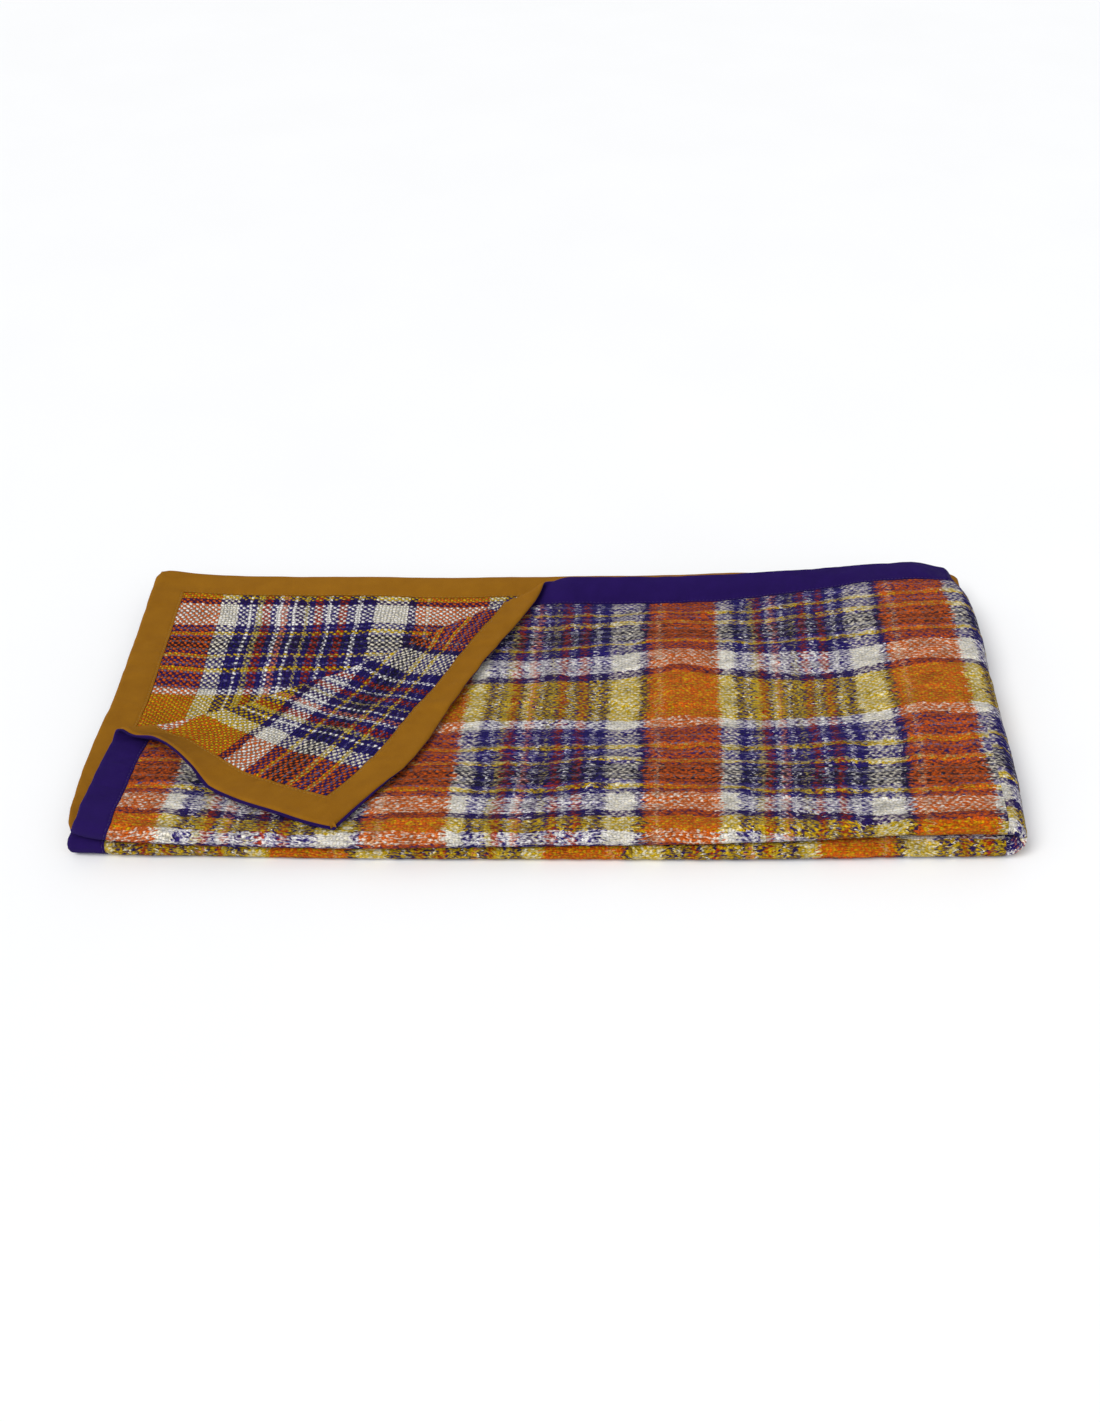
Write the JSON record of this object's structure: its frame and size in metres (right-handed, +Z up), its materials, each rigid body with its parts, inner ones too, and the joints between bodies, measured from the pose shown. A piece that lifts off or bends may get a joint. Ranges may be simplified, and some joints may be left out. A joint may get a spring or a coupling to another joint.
{
  "type": "camp blanket",
  "caption": "Brushed plaid wool blanket with a contrasting bound border, folded flat into layers, with the corner of the top layer turned back.",
  "frame": {"origin": "centre of the folded blanket's footprint, on the surface it lies on", "axes": "+X along the long side towards the right-hand fold, +Y from the front rolls to the free back edges, +Z up through the layers"},
  "size_m": [1.051, 0.472, 0.0538],
  "materials": {
    "plaid_cloth": "brushed woven wool, plaid",
    "tape_indigo": "fine ribbed tape, indigo",
    "tape_mustard": "fine ribbed tape, mustard",
    "thread_indigo": "sewing thread",
    "thread_mustard": "sewing thread"
  },
  "bodies": {
    "lower_half": {"cloth_fold": "plaid_cloth", "cloth_lower": "plaid_cloth", "stitch_face_end_lower": "thread_indigo", "stitch_face_side_bottom": "thread_indigo", "stitch_face_side_third": "thread_indigo", "stitch_reverse_end_lower": "thread_mustard", "stitch_reverse_side_bottom": "thread_mustard", "stitch_reverse_side_third": "thread_mustard", "tape_indigo_end_lower": "tape_indigo", "tape_indigo_fold_inner": "tape_indigo", "tape_indigo_fold_outer": "tape_indigo", "tape_indigo_side_bottom": "tape_indigo", "tape_indigo_side_third": "tape_indigo", "tape_mustard_end_lower": "tape_mustard", "tape_mustard_fold_inner": "tape_mustard", "tape_mustard_fold_outer": "tape_mustard", "tape_mustard_side_bottom": "tape_mustard", "tape_mustard_side_third": "tape_mustard"},
    "upper_half": {"cloth_crease": "plaid_cloth", "cloth_upper": "plaid_cloth", "stitch_face_end_upper": "thread_indigo", "stitch_face_side_second": "thread_indigo", "stitch_face_side_top": "thread_indigo", "stitch_reverse_end_upper": "thread_mustard", "stitch_reverse_side_second": "thread_mustard", "stitch_reverse_side_top": "thread_mustard", "tape_indigo_end_upper": "tape_indigo", "tape_indigo_side_second": "tape_indigo", "tape_indigo_side_top": "tape_indigo", "tape_mustard_crease_end": "tape_mustard", "tape_mustard_crease_side": "tape_mustard", "tape_mustard_end_upper": "tape_mustard", "tape_mustard_side_second": "tape_mustard", "tape_mustard_side_top": "tape_mustard"},
    "turned_corner": {"cloth_corner": "plaid_cloth", "stitch_face_end_corner": "thread_indigo", "stitch_face_side_corner": "thread_indigo", "stitch_reverse_end_corner": "thread_mustard", "stitch_reverse_side_corner": "thread_mustard", "tape_indigo_end_corner": "tape_indigo", "tape_indigo_side_corner": "tape_indigo", "tape_mustard_end_corner": "tape_mustard", "tape_mustard_side_corner": "tape_mustard"}
  },
  "joints": [
    {"name": "half_fold", "type": "hinge", "parent": "lower_half", "child": "upper_half", "pos_m": [0.5205, 0, 0.023], "axis": [0, 1, 0], "range_deg": [0, 177], "deforming": ["cloth_fold", "tape_indigo_fold_inner", "tape_indigo_fold_outer", "tape_mustard_fold_inner", "tape_mustard_fold_outer"]},
    {"name": "corner_fold", "type": "hinge", "parent": "upper_half", "child": "turned_corner", "pos_m": [-0.5255, -0.11475, 0.04615], "axis": [-0.8356, -0.5494, 0], "range_deg": [0, 178], "deforming": ["cloth_crease", "tape_mustard_crease_end", "tape_mustard_crease_side"]}
  ]
}
